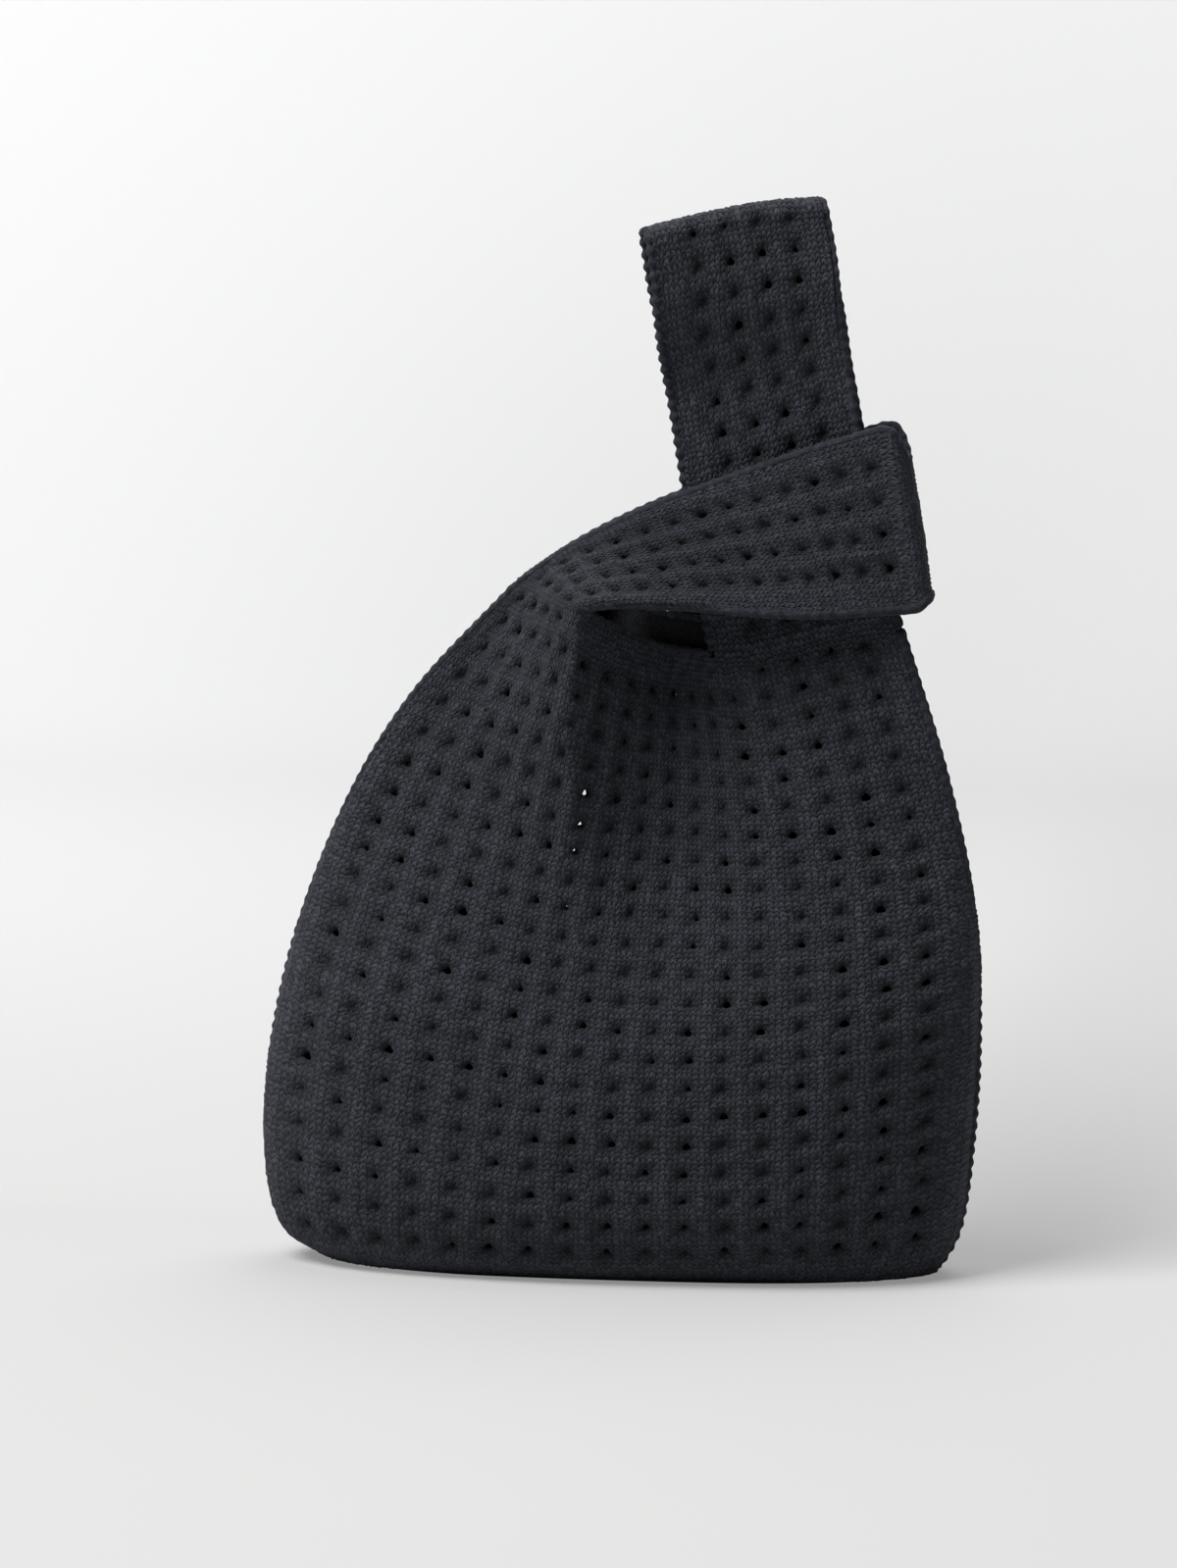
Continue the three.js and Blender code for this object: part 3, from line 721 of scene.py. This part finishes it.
def knit_sheet(name, surface, first_sample, last_sample, rows, has_eyelet, joined, shift, at_back=False):
    """A sheet of eyelet knit. has_eyelet(column, row) says which cells have an eyelet, and joined(column)
    where the sheet's first and last row go on in another piece and stay without an edge."""
    samples = np.arange(first_sample, last_sample + 1)
    steps = np.arange(round(rows * CELL_UP) + 1)
    column, row = np.meshgrid(samples / CELL_ACROSS, steps / CELL_UP)
    cell_column = column + shift[0]
    cell_row = row + shift[1]
    eyelet = has_eyelet(np.floor(cell_column), np.floor(cell_row))
    square = np.stack([from_middle(cell_column), from_middle(cell_row)], -1) / EYELET_HALF
    ring = np.abs(square).max(-1)
    moved = pulled(square, ring, eyelet, cell_column, cell_row)
    knit_column = column + moved[..., 0]
    knit_row = row + moved[..., 1]
    normal = cloth_normal(surface, knit_column, knit_row)
    settled = np.where(joined[0](column), smooth(row, 0, JOIN_ROWS), 1)
    settled = settled * np.where(joined[1](column), smooth(rows - row, 0, JOIN_ROWS), 1)
    rib = np.where(eyelet, -RIB_HEIGHT * np.cos(2 * math.pi * from_middle(cell_column)), RIB_HEIGHT)
    dimple = np.where(eyelet, -DIMPLE_DEPTH * np.exp(-(ring / DIMPLE_REACH) ** 2), 0)
    stitch = np.cos(math.pi * samples)[None, :] + np.cos(math.pi * steps)[:, None]
    stitch = STITCH_HEIGHT * stitch * settled
    pebble = PEBBLE_HEIGHT * chance(column * CELL_ACROSS, row * CELL_UP, PEBBLE_SEED) * settled
    lean = np.clip(RIM_RING - ring, 0, RIM_SPAN) * RIM_ROUNDING
    half_cloth = HALF_CLOTH * np.where(eyelet, np.sqrt(1 - lean ** 2), 1)
    relief = (rib + dimple + slow_swell(knit_column, knit_row)) * settled
    middle = surface(knit_column, knit_row) + normal * relief[..., None]
    outer = middle + normal * (half_cloth + stitch + pebble)[..., None]
    inner = middle - normal * (half_cloth + stitch)[..., None]
    points = np.vstack([outer.reshape(-1, 3), inner.reshape(-1, 3)])
    kept = kept_faces(cell_column, cell_row, has_eyelet, BACK_CLOSED_LIMIT if at_back else CLOSED_LIMIT)
    face_columns = column[0, :-1]
    faces = sheet_faces(kept, joined[0](face_columns), joined[1](face_columns))
    if at_back:
        points = points * MIRROR
        faces = faces[:, ::-1]
    made = add_mesh(name, points, faces.tolist(), EYELET_KNIT)
    stitches = np.stack([knit_column * WALES, knit_row * COURSES], -1).reshape(-1, 2)
    # Painted shade, darkest at an eyelet's middle and fading round it
    painted_shade = EYELET_PAINTED_SHADE * np.where(eyelet, np.exp(-(ring / PAINTED_SHADE_REACH) ** PAINTED_SHADE_POWER), 0).ravel()
    # The inner skin gets the full painted shade
    inside = np.full(painted_shade.size, INSIDE_PAINTED_SHADE)
    add_maps(made, np.vstack([stitches, stitches]), np.concatenate([painted_shade, inside]))
    return made


def panel_eyelet(column, row):
    under_strap = (column >= STRAP_COLUMN) | (column < LOOP_COLUMNS)
    return (column >= 0) & (column <= COLUMNS - 2) & (row >= 1) & (row <= PANEL_ROWS - 2 + under_strap)


def loop_eyelet(column, row):
    turned = (row >= LOOP_FRONT_ROWS) & (row < LOOP_ROWS - LOOP_FRONT_ROWS)
    at_back = row > LOOP_ROWS / 2
    return (column >= 0) & (column < LOOP_COLUMNS - at_back) & (row >= 0) & (row <= LOOP_ROWS - 1) & ~turned


def handle_eyelet(column, row):
    turned = (row >= HANDLE_FRONT_ROWS) & (row < HANDLE_ROWS - HANDLE_FRONT_ROWS)
    across = (column >= STRAP_COLUMN) & (column <= COLUMNS - 2)
    return across & (row >= 0) & (row <= HANDLE_ROWS - 1) & ~turned


def nowhere(column):
    return np.zeros(column.shape, bool)


def everywhere(column):
    return np.ones(column.shape, bool)


def at_straps(column):
    sample = np.round(column * CELL_ACROSS)
    return (sample < RIDGE_SAMPLE) | (sample >= STRAP_SAMPLE)


panel_joints = (nowhere, at_straps)
band_joints = (everywhere, everywhere)
front_knit = knit_sheet(
    "front_knit", panel_surface, 0, PANEL_SAMPLES, PANEL_ROWS, panel_eyelet, panel_joints, EYELET_SHIFT)
back_knit = knit_sheet(
    "back_knit", back_surface, 0, PANEL_SAMPLES, PANEL_ROWS, panel_eyelet, panel_joints, BACK_SHIFT, True)
loop_knit = knit_sheet(
    "short_loop_knit", loop_surface, 0, RIDGE_SAMPLE, LOOP_ROWS, loop_eyelet, band_joints, EYELET_SHIFT)
handle_knit = knit_sheet(
    "long_handle_knit", handle_surface, STRAP_SAMPLE, PANEL_SAMPLES, HANDLE_ROWS, handle_eyelet, band_joints,
    HANDLE_SHIFT)

# Chain edges and seams: cords of beads, in millimetres; edge steps are in columns and rows
BEAD_PITCH = 4.0
BEAD_SAMPLES = 6
CORD_SIDES = 8
CORD_SIDEWAYS = np.array([0.3, 1.0, 0.1])
END_TAPER = 0.4
EDGE_RADIUS = 1.5
SEAM_RADIUS = 2.7
SEAM_IN = 0.7
SEAM_FOOT = 3.0
SEAM_OVER = 3.0
EDGE_OUT = 0.6
RIM_RADIUS = 1.8
FINE_BEADS = 0.12
BOLD_BEADS = 0.28
RIM_BEADS = 0.04
EDGE_POINTS = 300
EDGE_STEP = 0.1
NECK_END_GAP = 0.2
HANDLE_END_GAP = 0.2


def chain(name, curve, radius, depth):
    """A cord of knots along a dense curve."""
    far = lengths(curve)
    count = int(far[-1] / BEAD_PITCH * BEAD_SAMPLES)
    share = np.linspace(0, 1, count + 1)
    line = at_share(curve, share)
    tangent = unit(np.gradient(line, axis=0))
    sideways = unit(np.cross(tangent, CORD_SIDEWAYS))
    upward = np.cross(sideways, tangent)
    phase = 2 * math.pi * share * far[-1] / BEAD_PITCH
    size = radius * (1 + depth * np.cos(phase))
    size[[0, -1]] *= END_TAPER
    turn = 2 * math.pi * np.arange(CORD_SIDES) / CORD_SIDES
    ring = sideways[:, None] * np.cos(turn)[None, :, None] + upward[:, None] * np.sin(turn)[None, :, None]
    points = (line[:, None] + ring * size[:, None, None]).reshape(-1, 3)
    first = np.arange(count)[:, None] * CORD_SIDES
    side = np.arange(CORD_SIDES)[None]
    here = first + side
    beside = first + (side + 1) % CORD_SIDES
    quads = np.stack([here, here + CORD_SIDES, beside + CORD_SIDES, beside], -1)
    faces = quads.reshape(-1, 4).tolist()
    faces.append(list(range(CORD_SIDES)))
    faces.append([count * CORD_SIDES + corner for corner in reversed(range(CORD_SIDES))])
    return add_mesh(name, points, faces, CHAIN_YARN)


def edge_line(surface, column, rows, inward):
    """A curve just outside a sheet's edge; inward is the step towards the sheet's middle, in columns."""
    row = np.linspace(rows[0], rows[1], EDGE_POINTS)
    edge = surface(np.full(EDGE_POINTS, column), row)
    inner = surface(np.full(EDGE_POINTS, column + inward), row)
    return edge + unit(edge - inner) * EDGE_OUT


def slit_row(column):
    """Row at which a panel's side edge leaves the seam."""
    rows = np.linspace(0, PANEL_ROWS, ROW_POINTS)
    return np.interp(SEAM_HEIGHT, panel_surface(np.full(ROW_POINTS, column), rows)[:, 2], rows)


def neck_line(surface):
    columns = np.linspace(RIDGE_SHARE * COLUMNS, STRAP_SHARE * COLUMNS - NECK_END_GAP, EDGE_POINTS)
    return surface(columns, np.full(EDGE_POINTS, float(PANEL_ROWS))) + np.array([0, 0, EDGE_OUT])


def seam_line(curve, inward):
    seam = np.column_stack([curve[:, 0] + inward, np.zeros(len(curve)), curve[:, 1]])
    return seam[(seam[:, 2] > SEAM_FOOT) & (seam[:, 2] < SEAM_HEIGHT + SEAM_OVER)]


right_edge = float(COLUMNS)
left_line = edge_line(panel_surface, 0.0, (slit_row(0.0), PANEL_ROWS), EDGE_STEP)
right_line = edge_line(panel_surface, right_edge, (slit_row(right_edge), PANEL_ROWS), -EDGE_STEP)
handle_rows = (HANDLE_END_GAP, HANDLE_ROWS - HANDLE_END_GAP)
handle_left = edge_line(handle_surface, STRAP_SAMPLE / CELL_ACROSS, handle_rows, EDGE_STEP)
handle_right = edge_line(handle_surface, right_edge, (0, HANDLE_ROWS), -EDGE_STEP)
loop_upper = edge_line(loop_surface, 0.0, (0, LOOP_ROWS), EDGE_STEP)
loop_lower = edge_line(loop_surface, RIDGE_SAMPLE / CELL_ACROSS, (0, LOOP_ROWS), -EDGE_STEP)

body_cords = {
    "left_side_seam_chain": (seam_line(LEFT_CURVE, SEAM_IN), SEAM_RADIUS, "left_side_seam"),
    "right_side_seam_chain": (seam_line(RIGHT_CURVE, -SEAM_IN), SEAM_RADIUS, "right_side_seam"),
    "front_left_chain": (left_line, EDGE_RADIUS, "front_left_edging"),
    "back_left_chain": (left_line * MIRROR, EDGE_RADIUS, "back_left_edging"),
    "front_right_chain": (right_line, EDGE_RADIUS, "front_right_edging"),
    "back_right_chain": (right_line * MIRROR, EDGE_RADIUS, "back_right_edging"),
    "front_mouth_chain": (neck_line(panel_surface), EDGE_RADIUS, "front_mouth_edging"),
    "back_mouth_chain": (neck_line(back_surface) * MIRROR, EDGE_RADIUS, "back_mouth_edging"),
}


def ride_on_bag(piece, node):
    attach(piece, "bag")
    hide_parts(node)


for name, (line, radius, node) in body_cords.items():
    ride_on_bag(chain(name, line, radius, FINE_BEADS), node)

# Base: a plain knitted oval, just inside the panels' lower edges, with its lower rim turned up a little
BASE_RINGS = 18
BASE_SIDES = 120
BASE_INSET = np.array([0.985, 0.96])
BASE_RIM_LIFT = 0.6


def base_oval():
    """The base's outline, once round."""
    front = on_panel(np.linspace(0, 1, BASE_SIDES // 2 + 1), 0.0)[:, :2] * BASE_INSET
    return np.vstack([front, front[-2:0:-1] * np.array([1, -1])])


def disc_faces(around):
    """Faces of a disc of BASE_RINGS rings about a middle point."""
    faces = []
    for side in range(around):
        after = (side + 1) % around
        faces.append([0, 1 + side, 1 + after])
        for ring in range(BASE_RINGS - 1):
            low = 1 + ring * around
            high = low + around
            faces.append([low + side, high + side, high + after, low + after])
    return faces


def base_plate():
    rim = base_oval()
    around = len(rim)
    shares = np.linspace(0, 1, BASE_RINGS + 1)[1:]
    flat = np.vstack([[[0, 0]], *[rim * share for share in shares]])
    upper = np.column_stack([flat, np.full(len(flat), KNIT)])
    lower = np.column_stack([flat, np.zeros(len(flat))])
    lower[-around:, 2] = BASE_RIM_LIFT
    faces = disc_faces(around)
    under = [[corner + len(flat) for corner in reversed(face)] for face in faces]
    edge = 1 + (BASE_RINGS - 1) * around
    skirt = []
    for side in range(around):
        here = edge + side
        beside = edge + (side + 1) % around
        skirt.append([here, here + len(flat), beside + len(flat), beside])
    return add_mesh("base_knit", np.vstack([upper, lower]), faces + under + skirt, CHAIN_YARN)


ride_on_bag(base_plate(), "base_panel")
ride_on_bag(front_knit, "front_panel")
ride_on_bag(back_knit, "back_panel")

# Places where the loop and the handle leave the bag, across and along the handle, in mm; the pieces don't
# bend at them
LOOP_BEND_START = (-36.0, -20.0)
LOOP_BEND_END = (-4.0, -20.0)
FOLD_HALF = 9.0
handle_middle = HANDLE_WIDTH / 2
loop_start = Vector(on_handle(*LOOP_BEND_START, 0) * MM)
loop_end = Vector(on_handle(*LOOP_BEND_END, 0) * MM)
fold_low = Vector(on_handle(handle_middle, fold_line(handle_middle) - FOLD_HALF, 0) * MM)
fold_high = Vector(on_handle(handle_middle, fold_line(handle_middle) + FOLD_HALF, 0) * MM)
loop_pieces = {
    loop_knit: ("short_loop_front", "short_loop_back", "short_loop_end"),
    chain("loop_upper_chain", loop_upper, EDGE_RADIUS, FINE_BEADS): ("short_loop_upper_edging",),
    chain("loop_lower_chain", loop_lower, RIM_RADIUS, RIM_BEADS): ("short_loop_lower_edging",),
}
handle_pieces = {
    handle_knit: ("long_handle_front", "long_handle_back", "long_handle_top"),
    chain("handle_left_chain", handle_left, EDGE_RADIUS, BOLD_BEADS): ("long_handle_left_edging",),
    chain("handle_right_chain", handle_right, EDGE_RADIUS, FINE_BEADS): ("long_handle_right_edging",),
}
for piece, nodes in loop_pieces.items():
    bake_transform(piece)
    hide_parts(*nodes)
for piece, nodes in handle_pieces.items():
    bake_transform(piece)
    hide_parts(*nodes)

# Studio, in metres: a pale floor, and a backdrop that only the camera sees
FLOOR_REACH = 6.0
SWEEP_HALF_WIDTH = 6.0
SWEEP_BACK = 0.07
SWEEP_RADIUS = 0.13
SWEEP_STEPS = 24
SWEEP_TOP = 5.0
PAPER_FLOOR = (0.32, 0.32, 0.317)
PAPER_WALL = (0.635, 0.635, 0.635)
PAPER_BOUNCE = (0.47, 0.47, 0.47)
PAPER_GLOW = 0.25
PAPER_ROUGHNESS = 0.9
PAPER_SPECULAR = 0.1
WALL_LOW = 0.0
WALL_HIGH = 0.16


def paper_material():
    """Matt paper, paler up the backdrop, lit through, and open when seen from behind. What it throws at the
    bag is set apart from what it shows the camera."""
    n = Nodes("paper")
    n.shader.inputs["Roughness"].default_value = PAPER_ROUGHNESS
    n.shader.inputs["Specular IOR Level"].default_value = PAPER_SPECULAR
    place = n.put("ShaderNodeNewGeometry")
    height = n.put("ShaderNodeSeparateXYZ")
    n.link(place.outputs["Position"], height.inputs[0])
    rise = n.put("ShaderNodeMapRange", interpolation_type="SMOOTHSTEP")
    rise.inputs["From Min"].default_value = WALL_LOW
    rise.inputs["From Max"].default_value = WALL_HIGH
    n.link(height.outputs["Z"], rise.inputs["Value"])
    shown = n.blend(rise.outputs["Result"], PAPER_FLOOR, PAPER_WALL)
    seen = n.put("ShaderNodeLightPath").outputs["Is Camera Ray"]
    n.link(n.blend(seen, PAPER_BOUNCE, shown), n.shader.inputs["Base Color"])
    n.shader.inputs["Emission Color"].default_value = (1, 1, 1, 1)
    n.link(n.math("MULTIPLY", seen, PAPER_GLOW), n.shader.inputs["Emission Strength"])
    behind = n.math("MULTIPLY", seen, place.outputs["Backfacing"])
    open_side = n.put("ShaderNodeMixShader")
    n.link(behind, open_side.inputs[0])
    n.link(n.shader.outputs[0], open_side.inputs[1])
    n.link(n.put("ShaderNodeBsdfTransparent").outputs[0], open_side.inputs[2])
    n.link(open_side.outputs[0], n.tree.nodes["Material Output"].inputs["Surface"])
    return n.material


PAPER = paper_material()


def stage_sheet(name, points, faces):
    mesh = bpy.data.meshes.new(name)
    mesh.from_pydata(points, [], faces)
    mesh.materials.append(PAPER)
    sheet = bpy.data.objects.new(name, mesh)
    bpy.context.scene.collection.objects.link(sheet)
    return sheet


def sweep_outline():
    """The backdrop's foot, a quarter turn, and its upright back, as (y, z)."""
    line = []
    for k in range(SWEEP_STEPS + 1):
        turn = 0.5 * math.pi * k / SWEEP_STEPS
        line.append((SWEEP_BACK + SWEEP_RADIUS * math.sin(turn), SWEEP_RADIUS * (1 - math.cos(turn))))
    line.append((SWEEP_BACK + SWEEP_RADIUS, SWEEP_TOP))
    return line


floor_signs = [(-1, -1), (1, -1), (1, 1), (-1, 1)]
floor_points = [(x * FLOOR_REACH, y * FLOOR_REACH, 0) for x, y in floor_signs]
stage_sheet("floor", floor_points, [(0, 1, 2, 3)])
sweep_line = sweep_outline()
sweep_points = [(side * SWEEP_HALF_WIDTH, y, z) for y, z in sweep_line for side in (-1, 1)]
sweep_faces = [(2 * k, 2 * k + 1, 2 * k + 3, 2 * k + 2) for k in range(len(sweep_line) - 1)]
sweep = stage_sheet("sweep", sweep_points, sweep_faces)
sweep.data.shade_smooth()
sweep.visible_diffuse = False
sweep.visible_glossy = False
sweep.visible_transmission = False
sweep.visible_shadow = False

# Lights: place, aim, size in metres, and power in watts
LIGHTS = {
    "key": ((-1.1, -1.05, 2.4), (0, 0, 0.15), 1.5, 112),
    "top": ((0.15, 0.7, 1.9), (0, 0, 0.1), 1.4, 24),
}
SKY_COLOUR = (0.95, 0.97, 1, 1)
SKY_LIGHT = 0.12
SKY_SEEN = 0.9


def area_light(name, place, target, size, power):
    data = bpy.data.lights.new(name, "AREA")
    data.size = size
    data.energy = power
    lamp = bpy.data.objects.new(name, data)
    lamp.location = place
    lamp.rotation_euler = (Vector(target) - Vector(place)).to_track_quat("-Z", "Y").to_euler()
    bpy.context.scene.collection.objects.link(lamp)


def studio_world():
    """A sky that is dim as a light and bright to the camera."""
    world = bpy.data.worlds.new("studio")
    world.use_nodes = True
    tree = world.node_tree
    sky = tree.nodes["Background"]
    sky.inputs["Color"].default_value = SKY_COLOUR
    seen = tree.nodes.new("ShaderNodeLightPath").outputs["Is Camera Ray"]
    strength = tree.nodes.new("ShaderNodeMapRange")
    strength.inputs["To Min"].default_value = SKY_LIGHT
    strength.inputs["To Max"].default_value = SKY_SEEN
    tree.links.new(seen, strength.inputs["Value"])
    tree.links.new(strength.outputs["Result"], sky.inputs["Strength"])
    return world


for name, (place, target, size, power) in LIGHTS.items():
    area_light(name, place, target, size, power)
bpy.context.scene.world = studio_world()

# Camera at the photograph's angle; lengths in metres, the sensor in millimetres
CAMERA_AZIMUTH = math.radians(9)
CAMERA_ELEVATION = math.radians(8)
CAMERA_DISTANCE = 3.0
SENSOR_WIDTH = 36
FRAME_WIDTH = 0.378
AIM = Vector((-0.0106, 0, 0.1568))
away = Vector((
    math.sin(CAMERA_AZIMUTH) * math.cos(CAMERA_ELEVATION),
    -math.cos(CAMERA_AZIMUTH) * math.cos(CAMERA_ELEVATION),
    math.sin(CAMERA_ELEVATION),
))
camera_data = bpy.data.cameras.new("camera")
camera_data.sensor_fit = "HORIZONTAL"
camera_data.sensor_width = SENSOR_WIDTH
camera_data.lens = SENSOR_WIDTH * CAMERA_DISTANCE / FRAME_WIDTH
camera = bpy.data.objects.new("camera", camera_data)
camera.location = AIM + away * CAMERA_DISTANCE
camera.rotation_euler = away.to_track_quat("Z", "Y").to_euler()
bpy.context.scene.collection.objects.link(camera)
bpy.context.scene.camera = camera
bpy.context.scene.view_settings.view_transform = "Standard"
